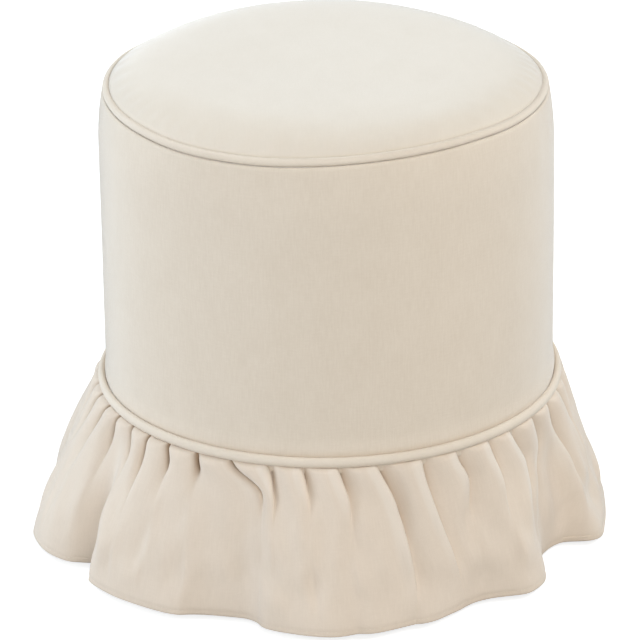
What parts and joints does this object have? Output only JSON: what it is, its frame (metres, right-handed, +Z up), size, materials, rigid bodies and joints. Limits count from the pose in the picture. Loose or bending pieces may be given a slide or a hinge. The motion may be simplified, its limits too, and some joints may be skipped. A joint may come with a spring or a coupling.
{
  "type": "round upholstered pouf",
  "caption": "Round upholstered pouf with a crowned, piped seat, a straight padded wall and a gathered skirt that hides its low glides.",
  "frame": {"origin": "on the floor under the middle of the round seat, at the centre of the wall's cylinder", "axes": "+Z up through the middle of the seat; -Y towards the side seen in the picture; +X to the viewer's right"},
  "size_m": [0.5629, 0.5654, 0.474],
  "materials": {
    "linen_cloth": "plain natural linen weave, soft matte sheen",
    "skirt_cloth": "plain natural linen weave, gathered, matte",
    "piping_cloth": "bias-cut linen over cord",
    "piping_cord": "twisted cotton cord",
    "wadding": "soft white polyester fibre",
    "foam": "open-cell foam",
    "plywood": "raw plywood",
    "hardboard": "raw hardboard",
    "pine": "planed softwood",
    "zinc_steel": "zinc plated",
    "glide_plastic": "moulded black plastic",
    "dust_cloth": "black non-woven"
  },
  "bodies": {
    "root": {"seat_cover": "linen_cloth", "seat_piping": "piping_cloth", "seat_piping_cord": "piping_cord", "side_cover": "linen_cloth", "skirt_piping": "piping_cloth", "skirt_piping_cord": "piping_cord", "ruffle_skirt": "skirt_cloth", "under_band": "linen_cloth", "seat_wadding": "wadding", "seat_foam": "foam", "side_wadding": "wadding", "top_board": "plywood", "base_board": "plywood", "side_board": "hardboard", "upright_1": "pine", "upright_2": "pine", "upright_3": "pine", "upright_4": "pine", "upright_5": "pine", "upright_6": "pine", "frame_screws": "zinc_steel", "foot_1": "glide_plastic", "foot_2": "glide_plastic", "foot_3": "glide_plastic", "foot_4": "glide_plastic", "foot_screws": "zinc_steel", "dust_cover": "dust_cloth", "cover_staples": "zinc_steel"}
  },
  "joints": []
}
